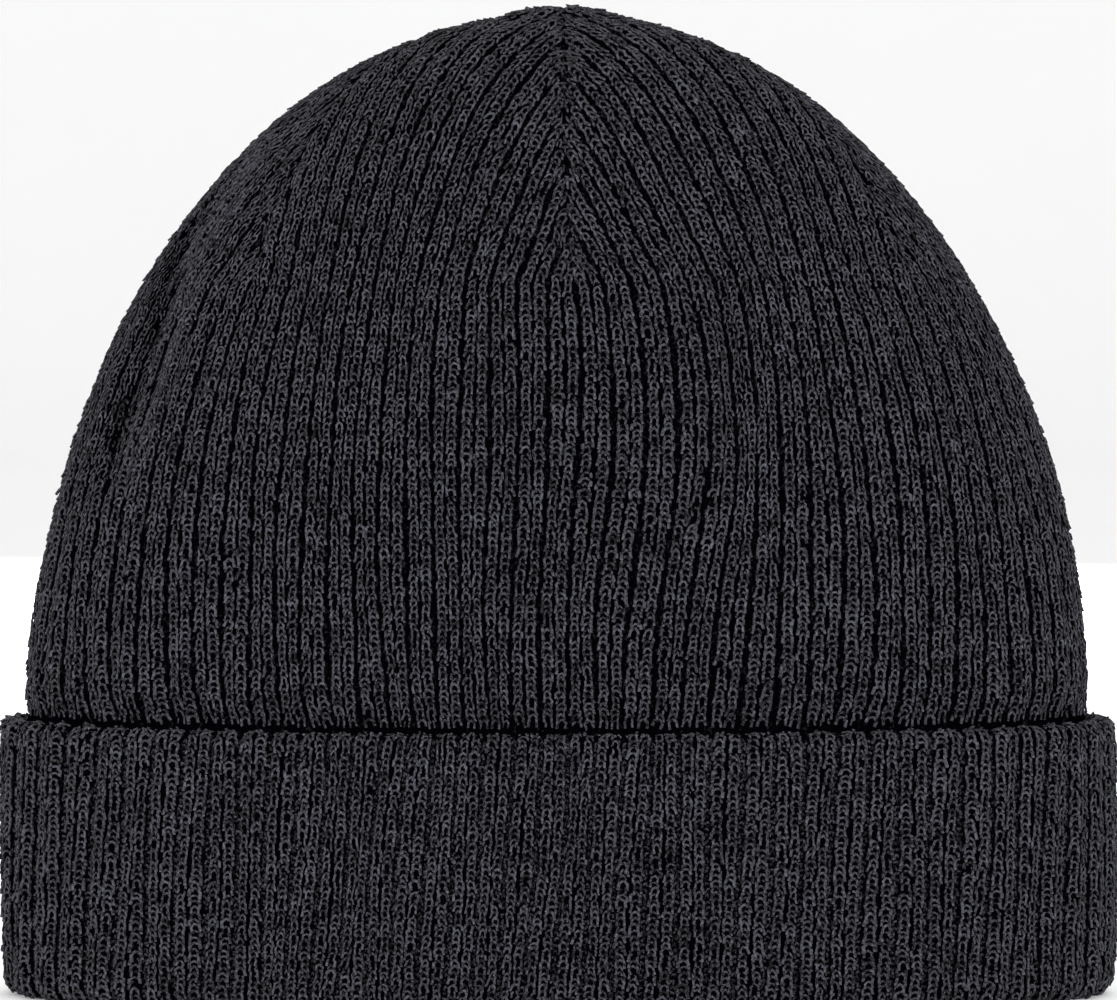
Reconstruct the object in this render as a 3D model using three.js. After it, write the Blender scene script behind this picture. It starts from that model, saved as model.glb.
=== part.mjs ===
// A ribbed knit beanie with a turned-up cuff, standing on its fold.
// Millimetres, +Z up, front towards -Y. The origin is on the ground, under the middle of the hat.
import * as THREE from 'three';

// Overall sizes
const cuffWidth = 220;
const cuffHeight = 54.2;
const cuffStandoff = 5.6; // from the crown's mean surface out to the cuff's rib crests
const crownWidth = cuffWidth - 2 * cuffStandoff;
const crownDepth = 88;
const shoulderHeight = 52.4; // the crown is straight below this and domed above it
const crownTop = 192.9;
const nubHeight = 1.3; // the gathered end of the darts, standing on the dome

// Fabric
const crownWall = 3.2;
const foldThickness = 4; // of the two layers where they are folded under
const layerGap = 0.3;

// Ribs and darts
const goreCount = 6;
const ribsPerGore = 14;
const ribCount = goreCount * ribsPerGore;
const ribRelief = 0.45; // crest above, and trough below, the mean surface
const dartStart = 140;
const dartTaper = 1.15; // over 1, ribs run out into the darts faster than the gores narrow
const seamDepth = 1.1;
const frontCrowding = 0.09; // ribs lie closer at the front and back than at the sides
const centreSeamShare = 0.0036; // the centre seam lies this share of the girth to the right
const cuffTwistShare = 0.008; // the cuff's ribs lean by this share of the girth

// Soft folds pressed into the front of the crown, as lines in the front view
const softFolds = [
  {
    place: 'left side',
    depth: 2.6,
    width: 5.5,
    line: [
      { x: -60, z: 167 },
      { x: -70, z: 153 },
      { x: -78, z: 136 },
      { x: -84, z: 112 },
    ],
  },
  {
    place: 'right of the centre',
    depth: 1.6,
    width: 6,
    line: [
      { x: 35, z: 137 },
      { x: 33, z: 113 },
      { x: 26, z: 93 },
      { x: 16, z: 77 },
    ],
  },
];

const softFoldFade = 12; // the folds die out this near the middle of the sides

// The cuff's section: out is the distance outside the crown's mean surface,
// ribs the share of the rib relief that shows there
const cuffSection = [
  { place: 'sole, inner edge', out: -1.8, z: 0, ribs: 0, coarse: true },
  { place: 'sole, outer edge', out: 2.9, z: 0, ribs: 0.5 },
  { place: 'turn of the fold', out: 4.6, z: 1.5, ribs: 1 },
  { place: 'foot of the face', out: 5.1, z: 5.5, ribs: 1 },
  { place: 'face, low', out: 5.2, z: 22, ribs: 1 },
  { place: 'face, high', out: 5.2, z: 40, ribs: 1 },
  { place: 'face under the free edge', out: 5, z: 51.6, ribs: 1 },
  { place: 'free edge, outer', out: 3.9, z: cuffHeight, ribs: 0.7 },
  { place: 'free edge, inner', out: 2.1, z: cuffHeight - 0.2, ribs: 0, coarse: true },
  { place: 'back, high', out: 1.3, z: cuffHeight - 3, ribs: 0, coarse: true },
  { place: 'back, middle', out: 0.9, z: 34, ribs: 0, coarse: true },
  { place: 'back, at the ledge', out: 0.9, z: foldThickness, ribs: 0, coarse: true },
  { place: 'ledge under the crown', out: -2.9, z: foldThickness, ribs: 0, coarse: true },
  { place: 'inside of the fold', out: -3.3, z: 2.1, ribs: 0, coarse: true },
];

// Steps of the crown's rows
const straightRows = 5;
const crownHem = foldThickness + layerGap;
const cuffCover = 50; // the first row above the straight foot, just under the cuff's free edge
const innerRowRibs = [1, 3, 5]; // half-gore widths, in ribs, of the rows inside the dome

// A lookup from a share of the girth to the angle round the oval
function makeOvalAngles(halfWidth, halfDepth) {
  const steps = 4096;
  const lengths = [0];
  for (let i = 1; i <= steps; i += 1) {
    const middle = ((i - 0.5) / steps) * 2 * Math.PI;
    const step = Math.hypot(halfWidth * Math.cos(middle), halfDepth * Math.sin(middle));
    lengths.push(lengths[i - 1] + step);
  }
  return (share) => {
    const turns = Math.floor(share);
    const wanted = (share - turns) * lengths[steps];
    let low = 0;
    let high = steps;
    while (high - low > 1) {
      const half = Math.floor((low + high) / 2);
      if (lengths[half] <= wanted) {
        low = half;
      } else {
        high = half;
      }
    }
    const part = (wanted - lengths[low]) / (lengths[high] - lengths[low]);
    return ((low + part) / steps + turns) * 2 * Math.PI;
  };
}

const halfWidth = crownWidth / 2;
const halfDepth = crownDepth / 2;
const domeHeight = crownTop - shoulderHeight;
const ovalAngle = makeOvalAngles(halfWidth, halfDepth);

// How much of the full girth is left at a height on the dome
function domeShare(z) {
  const rise = Math.max(0, z - shoulderHeight) / domeHeight;
  return Math.sqrt(Math.max(0, 1 - rise * rise));
}

// Half a gore's width in ribs, from half of ribsPerGore where the darts start to 0 at the top
function rowHeight(halfRibs) {
  const left = (2 * halfRibs) / ribsPerGore;
  const girth = domeShare(dartStart) * left ** (1 / dartTaper);
  return shoulderHeight + domeHeight * Math.sqrt(1 - girth * girth);
}

function distanceToLine(x, z, line) {
  let nearest = Infinity;
  for (let i = 1; i < line.length; i += 1) {
    const from = line[i - 1];
    const along = new THREE.Vector2(line[i].x - from.x, line[i].z - from.z);
    const to = new THREE.Vector2(x - from.x, z - from.z);
    const share = THREE.MathUtils.clamp(to.dot(along) / along.lengthSq(), 0, 1);
    nearest = Math.min(nearest, to.addScaledVector(along, -share).length());
  }
  return nearest;
}

function softFoldDepth(point) {
  const frontness = THREE.MathUtils.smoothstep(-point.y, 0, softFoldFade);
  let depth = 0;
  for (const fold of softFolds) {
    const reach = distanceToLine(point.x, point.z, fold.line) / fold.width;
    depth += fold.depth * Math.exp(-reach * reach);
  }
  return frontness * depth;
}

// A point of the crown: out is the distance outside its mean surface
function crownPoint(share, z, out) {
  const angle = ovalAngle(share + centreSeamShare);
  const girth = domeShare(z);
  const mean = new THREE.Vector3(
    halfWidth * girth * Math.sin(angle),
    -halfDepth * girth * Math.cos(angle),
    z,
  );
  const normal = new THREE.Vector3(
    mean.x / halfWidth ** 2,
    mean.y / halfDepth ** 2,
    Math.max(0, z - shoulderHeight) / domeHeight ** 2,
  ).normalize();
  return mean.clone().addScaledVector(normal, out - softFoldDepth(mean));
}

// A point of the cuff, whose layers follow the crown's straight foot
function cuffPoint(share, z, out) {
  const angle = ovalAngle(share);
  const normal = new THREE.Vector3(
    Math.sin(angle) / halfWidth,
    -Math.cos(angle) / halfDepth,
    0,
  ).normalize();
  const foot = new THREE.Vector3(halfWidth * Math.sin(angle), -halfDepth * Math.cos(angle), z);
  return foot.addScaledVector(normal, out);
}

// The share of the girth at a rib, with the ribs crowded at the front and back
function ribShare(rib, crowding) {
  return rib / ribCount - (crowding * Math.sin((4 * Math.PI * rib) / ribCount)) / (4 * Math.PI);
}

// Whole numbers of ribs are troughs and halves are crests
function ribHeight(rib) {
  return -ribRelief * Math.cos(2 * Math.PI * rib);
}

class ClosedSurface {
  constructor() {
    this.positions = [];
    this.faces = [];
  }

  add(at, point) {
    this.positions.push(point.x, point.y, point.z);
    return { at, index: this.positions.length / 3 - 1 };
  }

  // Fills the strip between two rows of points. On an upright wall with its points running
  // to the right, the strip faces the viewer when the second row is the upper one
  join(first, second) {
    let i = 0;
    let j = 0;
    while (i < first.length - 1 || j < second.length - 1) {
      const nextFirst = i < first.length - 1 ? first[i + 1].at : Infinity;
      const nextSecond = j < second.length - 1 ? second[j + 1].at : Infinity;
      if (nextFirst <= nextSecond) {
        this.faces.push(first[i].index, first[i + 1].index, second[j].index);
        i += 1;
      } else {
        this.faces.push(first[i].index, second[j + 1].index, second[j].index);
        j += 1;
      }
    }
  }

  geometry() {
    const geometry = new THREE.BufferGeometry();
    geometry.setAttribute('position', new THREE.Float32BufferAttribute(this.positions, 3));
    geometry.setIndex(this.faces);
    geometry.computeVertexNormals();
    return geometry;
  }
}

// A closed ring: its first point comes again at the end, one turn further on
function closeRing(points) {
  return [...points, { at: points[0].at + 1, index: points[0].index }];
}

// A ring of the crown below the darts, with one point at each whole multiple of step ribs
function crownRing(surface, z, step, out) {
  const height = THREE.MathUtils.clamp((z - cuffCover) / (dartStart - cuffCover), 0, 1);
  const crowding = frontCrowding * (1 - height);
  const points = [];
  for (let k = 0; k < ribCount / step; k += 1) {
    const rib = k * step;
    const share = ribShare(rib, crowding);
    points.push(surface.add(rib / ribCount, crownPoint(share, z, out(rib))));
  }
  return closeRing(points);
}

// A row across each gore above the start of the darts. Neighbouring gores share a seam point
function goreRows(surface, halfRibs, step, out, seamOut) {
  const z = rowHeight(halfRibs);
  const seams = [];
  for (let gore = 0; gore < goreCount; gore += 1) {
    seams.push(surface.add(-halfRibs, crownPoint(gore / goreCount, z, seamOut)));
  }
  const rows = [];
  for (let gore = 0; gore < goreCount; gore += 1) {
    const row = [seams[gore]];
    for (let u = step - halfRibs; u < halfRibs - step / 2; u += step) {
      const share = (gore + 0.5 + u / halfRibs / 2) / goreCount;
      row.push(surface.add(u, crownPoint(share, z, out(u))));
    }
    row.push({ at: halfRibs, index: seams[(gore + 1) % goreCount].index });
    rows.push(row);
  }
  return rows;
}

// The part of a ring that a gore takes up, measured in ribs from the gore's middle
function ringAcrossGore(ring, gore, step) {
  const middle = (gore + 0.5) * ribsPerGore;
  const first = (gore * ribsPerGore) / step;
  const points = [];
  for (let k = first; k <= first + ribsPerGore / step; k += 1) {
    points.push({ at: k * step - middle, index: ring[k].index });
  }
  return points;
}

function buildCrown() {
  const surface = new ClosedSurface();
  const ribbed = (rib) => ribHeight(rib);
  const smooth = () => -crownWall;

  const heights = [crownHem];
  for (let row = 0; row <= straightRows; row += 1) {
    heights.push(cuffCover + ((dartStart - cuffCover) * row) / straightRows);
  }

  const outer = heights.map((z) => crownRing(surface, z, 0.5, ribbed));
  for (let k = 1; k < outer.length; k += 1) {
    surface.join(outer[k - 1], outer[k]);
  }

  // The dome outside: every half rib runs out on a seam of its own row
  const top = outer[outer.length - 1];
  let rows = [];
  for (let gore = 0; gore < goreCount; gore += 1) {
    rows.push(ringAcrossGore(top, gore, 0.5));
  }
  for (let halfRibs = (ribsPerGore - 1) / 2; halfRibs >= 0.5; halfRibs -= 0.5) {
    const raised = halfRibs === 0.5 ? nubHeight : 0;
    const out = (u) => ribHeight(u) + raised;
    const next = goreRows(surface, halfRibs, 0.5, out, raised - seamDepth * (raised ? 0.5 : 1));
    rows.forEach((row, gore) => surface.join(row, next[gore]));
    rows = next;
  }
  const apex = surface.add(0, crownPoint(0, crownTop, nubHeight));
  rows.forEach((row) => surface.join(row, [apex]));

  // The dome and the straight wall inside, from the top down
  const innerApex = surface.add(0, crownPoint(0, crownTop, -crownWall));
  const ringHeights = heights.slice().reverse();
  const inner = ringHeights.map((z) => crownRing(surface, z, 1, smooth));
  let above = null;
  for (const halfRibs of innerRowRibs) {
    const next = goreRows(surface, halfRibs, 1, smooth, -crownWall);
    next.forEach((row, gore) => surface.join(above ? above[gore] : [innerApex], row));
    above = next;
  }
  const brow = inner[0];
  for (let gore = 0; gore < goreCount; gore += 1) {
    surface.join(above[gore], ringAcrossGore(brow, gore, 1));
  }
  for (let k = 1; k < inner.length; k += 1) {
    surface.join(inner[k - 1], inner[k]);
  }

  // The hem, which stands on the fold
  surface.join(inner[inner.length - 1], outer[0]);
  return surface.geometry();
}

function buildCuff() {
  const surface = new ClosedSurface();
  const rings = cuffSection.map(({ out, z, ribs, coarse }) => {
    const step = coarse ? 1 : 0.5;
    const lean = coarse ? 0 : cuffTwistShare * (z / cuffHeight - 0.5);
    const points = [];
    for (let k = 0; k < ribCount / step; k += 1) {
      const rib = k * step;
      const share = ribShare(rib, frontCrowding) + lean;
      points.push(surface.add(rib / ribCount, cuffPoint(share, z, out + ribs * ribHeight(rib))));
    }
    return closeRing(points);
  });
  rings.forEach((ring, k) => surface.join(ring, rings[(k + 1) % rings.length]));
  return surface.geometry();
}

const knit = { color: 0x26262b, roughness: 0.95, metalness: 0 };

const crown = new THREE.Mesh(buildCrown(), new THREE.MeshStandardMaterial(knit));
crown.name = 'crown';

const cuff = new THREE.Mesh(buildCuff(), new THREE.MeshStandardMaterial(knit));
cuff.name = 'cuff';

const beanie = new THREE.Group();
beanie.add(crown, cuff);

export default beanie;
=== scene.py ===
import math

import bpy
import numpy as np
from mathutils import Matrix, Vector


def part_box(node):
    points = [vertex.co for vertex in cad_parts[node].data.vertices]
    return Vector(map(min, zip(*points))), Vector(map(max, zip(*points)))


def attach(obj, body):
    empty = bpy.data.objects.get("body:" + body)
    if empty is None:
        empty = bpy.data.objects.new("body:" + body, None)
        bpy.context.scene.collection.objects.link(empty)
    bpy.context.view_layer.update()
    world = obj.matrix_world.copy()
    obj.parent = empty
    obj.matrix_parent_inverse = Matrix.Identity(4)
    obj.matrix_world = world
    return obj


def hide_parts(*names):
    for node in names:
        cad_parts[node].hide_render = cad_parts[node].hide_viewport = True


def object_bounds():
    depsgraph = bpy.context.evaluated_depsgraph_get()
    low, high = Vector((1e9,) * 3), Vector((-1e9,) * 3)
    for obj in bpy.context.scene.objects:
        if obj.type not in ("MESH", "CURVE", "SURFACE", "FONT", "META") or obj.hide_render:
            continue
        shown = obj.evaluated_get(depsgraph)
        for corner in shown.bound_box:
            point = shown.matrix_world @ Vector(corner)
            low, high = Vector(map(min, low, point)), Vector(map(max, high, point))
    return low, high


bl_info = {
    "name": "Ribbed beanie",
    "version": (1, 0, 0),
    "blender": (4, 5, 0),
    "location": "3D View > Sidebar > Beanie",
    "description": "Knits a beanie's crown and turned-up cuff, loop by loop, over its plain solids",
    "category": "Object",
}

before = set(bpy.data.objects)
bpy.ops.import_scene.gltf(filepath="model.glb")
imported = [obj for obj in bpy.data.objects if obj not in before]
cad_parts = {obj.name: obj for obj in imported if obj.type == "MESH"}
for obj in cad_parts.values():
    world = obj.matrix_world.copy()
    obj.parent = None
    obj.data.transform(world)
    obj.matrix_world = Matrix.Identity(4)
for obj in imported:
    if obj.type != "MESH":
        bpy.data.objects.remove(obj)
frame_box = [list(corner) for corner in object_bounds()]
crown_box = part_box("crown")
cuff_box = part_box("cuff")

MM = 0.001
TAU = 2 * math.pi

# The plan of the hat and the rise of its dome, from the solids
SOLID_CREST = 0.4 * MM  # the solids' ribs stand this far outside their mean surface
HALF_WIDTH = (crown_box[1][0] - crown_box[0][0]) / 2 - SOLID_CREST
HALF_DEPTH = (crown_box[1][1] - crown_box[0][1]) / 2 - SOLID_CREST
HEM_HEIGHT = crown_box[0][2]
CUFF_HEIGHT = cuff_box[1][2]
NUB_HEIGHT = 1.3 * MM
SHOULDER_HEIGHT = 52.4 * MM
DOME_HEIGHT = crown_box[1][2] - NUB_HEIGHT - SHOULDER_HEIGHT

# Ribs, gores and darts, as the solids have them
GORES = 6
RIBS_PER_GORE = 14
RIBS = GORES * RIBS_PER_GORE
DART_START = 140 * MM
DART_TAPER = 1.25
FOOT_CROWDING = 0.09  # ribs this much closer at the front and back, and wider at the sides
DART_CROWDING = -0.13
TOP_CROWDING = -0.5
CENTRE_SHIFT = 0.0036  # shares of the girth that the middle and side darts lie to the right
SIDE_SHIFT = 0.01
LEAN_BACK = math.radians(16.5)  # the crown's point lies this far behind the top of the dome
DART_EASE = 8 * MM  # the darts begin gently over this climb
CROWN_WALL = 3.2 * MM
GORE_NAMES = ("front_right", "side_right", "back_right", "back_left", "side_left", "front_left")
MEETING_RIBS = (10, 10, 4, 10, 4, 4)  # the rib of each gore that reaches the crown's point

# A rib has two knit wales, this share of a rib either side of its crest
WALE_OFFSET = 0.22
PLAIN_PITCH = 5.3 * MM  # a rib's width where the loops have their plain size

# Soft folds pressed back into the front, as lines in the front view: (x, z). The fabric on the
# right of a line stands up as a ridge, on its left it drops into the groove over the edge's
# width, and a narrow crease runs along the foot of that edge
SOFT_FOLDS = (
    {
        "place": "left side",
        "groove": 6.5 * MM,
        "groove_reach": 6.5 * MM,
        "ridge": 2.6 * MM,
        "ridge_reach": 5.5 * MM,
        "edge": 2.0 * MM,
        "crease": 0.8 * MM,
        "crease_reach": 2.2 * MM,
        "line": ((-52, 173), (-61, 165), (-71, 148), (-75, 134), (-79, 120), (-84, 109), (-88, 96)),
    },
    {
        "place": "right of the centre",
        "groove": 2.4 * MM,
        "groove_reach": 5.0 * MM,
        "ridge": 0.9 * MM,
        "ridge_reach": 6.0 * MM,
        "edge": 3.2 * MM,
        "crease": 0.6 * MM,
        "crease_reach": 2.0 * MM,
        "line": ((31, 152), (35, 138), (38, 122), (34, 106), (27, 94), (19, 82)),
    },
)
SOFT_FOLD_FADE = 12 * MM
SOFT_FOLD_END = 14 * MM  # a fold dies out over this length at both ends

# The ribs beside the dent stray to the right on the front, between these heights
DRIFT = {
    "shift": 5.0 * MM,
    "x": 23 * MM,
    "reach_left": 30 * MM,
    "reach_right": 14 * MM,
    "rises": (68 * MM, 114 * MM),
    "falls": (118 * MM, 168 * MM),
}


class BeanieSizes(bpy.types.PropertyGroup):
    """Sizes of the knitting"""

    course: bpy.props.FloatProperty(
        name="Course",
        description="Height of one row of loops",
        default=1.17 * MM,
        subtype="DISTANCE",
    )
    crown_trough: bpy.props.FloatProperty(
        name="Crown trough",
        description="Depth of the furrow between two ribs of the crown",
        default=1.35 * MM,
        subtype="DISTANCE",
    )
    cuff_trough: bpy.props.FloatProperty(
        name="Cuff trough",
        description="Depth of the furrow between two ribs of the cuff",
        default=1.3 * MM,
        subtype="DISTANCE",
    )
    sharpness: bpy.props.FloatProperty(
        name="Furrow sharpness",
        description="How narrow the furrow is beside the flat crest of a rib",
        default=1.7,
    )
    seam_depth: bpy.props.FloatProperty(
        name="Seam depth",
        description="Depth of the crease along a dart",
        default=1.3 * MM,
        subtype="DISTANCE",
    )
    seam_width: bpy.props.FloatProperty(
        name="Seam width",
        description="Reach of the crease along a dart, to either side",
        default=0.7 * MM,
        subtype="DISTANCE",
    )
    loop_width: bpy.props.FloatProperty(
        name="Loop width",
        description="Width of a loop between the middles of its legs",
        default=1.43 * MM,
        subtype="DISTANCE",
    )
    loop_length: bpy.props.FloatProperty(
        name="Loop length",
        description="Length of a loop from its feet to its head",
        default=1.62 * MM,
        subtype="DISTANCE",
    )
    yarn: bpy.props.FloatProperty(
        name="Yarn",
        description="Thickness of the yarn",
        default=0.5 * MM,
        subtype="DISTANCE",
    )
    unevenness: bpy.props.FloatProperty(
        name="Unevenness",
        description="How much the loops differ in size and place",
        default=0.24,
        subtype="FACTOR",
    )
    purl_width: bpy.props.FloatProperty(
        name="Purl width",
        description="Width of a purl bump in a furrow",
        default=1.0 * MM,
        subtype="DISTANCE",
    )
    purl_height: bpy.props.FloatProperty(
        name="Purl height",
        description="Height of a purl bump in a furrow",
        default=0.6 * MM,
        subtype="DISTANCE",
    )
    wander: bpy.props.FloatProperty(
        name="Wander",
        description="How far the ribs stray to the side, in ribs",
        default=0.13,
    )
    camera_rise: bpy.props.FloatProperty(
        name="Camera rise",
        description="Angle of the camera above the level of the hat",
        default=math.radians(2.7),
        subtype="ANGLE",
    )
    camera_distance: bpy.props.FloatProperty(
        name="Camera distance",
        description="Distance from the camera to the middle of the hat",
        default=1.6,
        subtype="DISTANCE",
    )


class BeanieColours(bpy.types.PropertyGroup):
    """Colours of the yarn, of the fabric behind the loops, painted near black as shade, and of the floor
    """

    yarn: bpy.props.FloatVectorProperty(
        name="Yarn",
        description="Charcoal of the loops",
        default=(0.0285, 0.0285, 0.035),
        subtype="COLOR",
        size=3,
    )
    # Painted shade: the fabric behind and between the loops is the same charcoal yarn, painted near black
    # so the holes read as shade
    depth: bpy.props.FloatVectorProperty(
        name="Fabric behind the loops",
        description="Near black between and behind the loops",
        default=(0.0006, 0.0006, 0.001),
        subtype="COLOR",
        size=3,
    )
    floor: bpy.props.FloatVectorProperty(
        name="Floor",
        description="Plain pale floor",
        default=(0.93, 0.93, 0.93),
        subtype="COLOR",
        size=3,
    )


class Wire:
    """A socket in a node tree. Sums on wires add Math nodes"""

    def __init__(self, tree, socket=None):
        self.tree = tree
        self.socket = socket

    def node(self, kind, inputs=None, output=0, stops=None, **settings):
        """Adds a node of any kind: its settings first, then its inputs, and returns one output"""
        made = self.tree.nodes.new(kind)
        for name, value in settings.items():
            setattr(made, name, value)
        if stops:
            ramp = made.color_ramp
            while len(ramp.elements) < len(stops):
                ramp.elements.new(0.5)
            for element, (place, colour) in zip(ramp.elements, stops):
                element.position = place
                element.color = colour
        for name, value in (inputs or {}).items():
            socket = made.inputs[name]
            if isinstance(value, Wire):
                self.tree.links.new(value.socket, socket)
            else:
                socket.default_value = value
        return Wire(self.tree, made.outputs[output])

    def maths(self, operation, *others):
        inputs = dict(enumerate((self, *others)))
        return self.node("ShaderNodeMath", inputs, operation=operation)

    def vector(self, operation, inputs, output=0):
        return self.node("ShaderNodeVectorMath", inputs, output, operation=operation)

    def __add__(self, other):
        return self.maths("ADD", other)

    __radd__ = __add__

    def __mul__(self, other):
        return self.maths("MULTIPLY", other)

    __rmul__ = __mul__

    def __sub__(self, other):
        return self.maths("SUBTRACT", other)

    def __rsub__(self, other):
        return self.node("ShaderNodeMath", {0: other, 1: self}, operation="SUBTRACT")

    def __truediv__(self, other):
        return self.maths("DIVIDE", other)

    def __pow__(self, other):
        return self.maths("POWER", other)

    def scaled(self, factor):
        """A vector made longer by a number"""
        return self.vector("SCALE", {0: self, "Scale": factor})

    def plus(self, other):
        """The sum of two vectors"""
        return self.vector("ADD", {0: self, 1: other})


# The shape of the hat

class Oval:
    """The hat's plan, walked by shares of its girth from the middle of the front"""

    def __init__(self, half_width, half_depth, steps=4096):
        self.angles = np.linspace(0, TAU, steps + 1)
        middles = (self.angles[1:] + self.angles[:-1]) / 2
        lengths = np.hypot(half_width * np.cos(middles), half_depth * np.sin(middles))
        self.walked = np.concatenate(([0.0], np.cumsum(lengths))) / lengths.sum()

    def angle(self, share):
        turns = np.floor(share)
        return np.interp(share - turns, self.walked, self.angles) + turns * TAU


PLAN = Oval(HALF_WIDTH, HALF_DEPTH)

# Heights on the crown are given as its climb: the height itself on the straight foot, and
# above the shoulder the dome's height times an angle that ends a quarter turn later
TOP_CLIMB = SHOULDER_HEIGHT + DOME_HEIGHT * math.pi / 2
DART_ANGLE = math.asin((DART_START - SHOULDER_HEIGHT) / DOME_HEIGHT)
DART_CLIMB = SHOULDER_HEIGHT + DOME_HEIGHT * DART_ANGLE


def smooth_step(value, low, high):
    share = np.clip((value - low) / (high - low), 0, 1)
    return share * share * (3 - 2 * share)


def unit(vectors):
    return vectors / np.linalg.norm(vectors, axis=-1, keepdims=True)


def dome(climb):
    """The share of the full girth that is left at a climb, and the height there"""
    angle = np.clip((climb - SHOULDER_HEIGHT) / DOME_HEIGHT, 0, math.pi / 2)
    height = np.where(
        climb < SHOULDER_HEIGHT, climb, SHOULDER_HEIGHT + DOME_HEIGHT * np.sin(angle)
    )
    return np.cos(angle), height


def ribs_left(climb):
    """The share of a gore's ribs that its darts have left at a climb"""
    left = np.clip(dome(climb)[0] / math.cos(DART_ANGLE), 1e-6, 1) ** DART_TAPER
    return 1 - (1 - left) * smooth_step(climb, DART_CLIMB - DART_EASE, DART_CLIMB + DART_EASE)


def meeting_rib(gore):
    return np.choose(np.mod(gore, GORES).astype(int), MEETING_RIBS)


def rib_place(gore, rib, climb):
    """How far round the hat a gore's rib is, from 0 to 1 in the fabric's own measure"""
    left = ribs_left(climb)
    across = (rib - meeting_rib(gore) * (1 - left)) / (RIBS_PER_GORE * left)
    return (gore + across) / GORES


def rib_at(place, climb):
    """The rib number at a place round the hat"""
    gore = np.floor(place * GORES + 1e-9)
    left = ribs_left(climb)
    across = place * GORES - gore
    return RIBS_PER_GORE * (gore + across * left) + meeting_rib(gore) * (1 - left)


def spread(place, crowding):
    """The share of the girth at a place, with ribs closer or wider at the front and back"""
    sideways = SIDE_SHIFT * (1 - np.cos(GORES / 2 * TAU * place)) / 2
    return place - crowding * np.sin(2 * TAU * place) / (2 * TAU) + CENTRE_SHIFT + sideways


def crown_crowding(climb):
    stages = (CUFF_HEIGHT, DART_CLIMB, TOP_CLIMB)
    return np.interp(climb, stages, (FOOT_CROWDING, DART_CROWDING, TOP_CROWDING))


def stray(share, height, wander):
    """How far a rib strays to the side, as a share of the girth"""
    turn = TAU * share
    waves = (
        0.45 * np.sin(5 * turn + height / (29 * MM) + 1.3)
        + 0.35 * np.sin(11 * turn - height / (17 * MM) + 4.0)
        + 0.30 * np.sin(23 * turn + height / (11 * MM) + 2.2)
        + 0.15 * np.sin(41 * turn - height / (7 * MM) + 0.4)
    )
    return waves * wander / RIBS


def swell(share, height):
    """Soft unevenness of the fabric, in metres outwards"""
    turn = TAU * share
    return MM * (
        0.30 * np.sin(4 * turn + height / (31 * MM) + 0.7)
        + 0.22 * np.sin(7 * turn - height / (19 * MM) + 2.9)
        + 0.12 * np.sin(13 * turn + height / (12 * MM) + 5.1)
    )


def place_by_line(x, z, line):
    """The distance to a line in the front view, below zero to its left, and the length walked
    along it to the nearest point, with the line's whole length"""
    nearest = np.full(x.shape, np.inf)
    walked = np.zeros(x.shape)
    before = 0.0
    for (x0, z0), (x1, z1) in zip(line, line[1:]):
        ax, az = (x1 - x0) * MM, (z1 - z0) * MM
        length = math.hypot(ax, az)
        bx, bz = x - x0 * MM, z - z0 * MM
        share = np.clip((bx * ax + bz * az) / length**2, 0, 1)
        distance = np.hypot(bx - share * ax, bz - share * az)
        side = np.where(ax * bz - az * bx < 0, -1, 1)
        closer = distance < np.abs(nearest)
        nearest = np.where(closer, side * distance, nearest)
        walked = np.where(closer, before + share * length, walked)
        before += length
    return nearest, walked, before


def soft_folds(points):
    """How far the soft folds push the front back: a groove, and a ridge on its right"""
    depth = np.zeros(points.shape[:-1])
    for fold in SOFT_FOLDS:
        away, walked, length = place_by_line(points[..., 0], points[..., 2], fold["line"])
        right = smooth_step(away, -fold["edge"], fold["edge"])
        groove = fold["groove"] * np.exp(-((away / fold["groove_reach"]) ** 2))
        ridge = fold["ridge"] * np.exp(-((away / fold["ridge_reach"]) ** 2))
        from_foot = (away + fold["edge"]) / fold["crease_reach"]
        crease = fold["crease"] * np.exp(-from_foot * from_foot)
        begun = smooth_step(walked, 0, SOFT_FOLD_END)
        going = smooth_step(length - walked, 0, SOFT_FOLD_END)
        depth += (groove * (1 - right) - ridge * right + crease) * begun * going
    return depth * smooth_step(-points[..., 1], 0, SOFT_FOLD_FADE)


def drift(points):
    """How far the ribs stray to the right on the front, in metres"""
    away = points[..., 0] - DRIFT["x"]
    reach = np.where(away < 0, DRIFT["reach_left"], DRIFT["reach_right"])
    height = points[..., 2]
    held = smooth_step(height, *DRIFT["rises"]) * (1 - smooth_step(height, *DRIFT["falls"]))
    shift = DRIFT["shift"] * np.exp(-((away / reach) ** 2)) * held
    return shift * smooth_step(-points[..., 1], 0, SOFT_FOLD_FADE)


GRIP_DEPTH = 2.6 * MM  # the crown is drawn in where the cuff's free edge grips it
GRIP_REACH = 4.0 * MM
GRIP_HEIGHT = CUFF_HEIGHT + 1.2 * MM


def dome_points(angle, climb):
    """Points of the smooth dome, whose rows tip back towards the crown's point"""
    rise = np.clip((climb - SHOULDER_HEIGHT) / DOME_HEIGHT, 0, math.pi / 2)
    above_darts = np.clip((rise - DART_ANGLE) / (math.pi / 2 - DART_ANGLE), 0, 1)
    lean = LEAN_BACK * np.sin(above_darts * math.pi / 2) ** 1.3
    back, up = -np.cos(rise) * np.cos(angle), np.sin(rise)
    x = HALF_WIDTH * np.cos(rise) * np.sin(angle)
    y = HALF_DEPTH * (back * np.cos(lean) + up * np.sin(lean))
    dome_z = SHOULDER_HEIGHT + DOME_HEIGHT * (up * np.cos(lean) - back * np.sin(lean))
    return np.stack((x, y, np.where(climb < SHOULDER_HEIGHT, climb, dome_z)), axis=-1)


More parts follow.
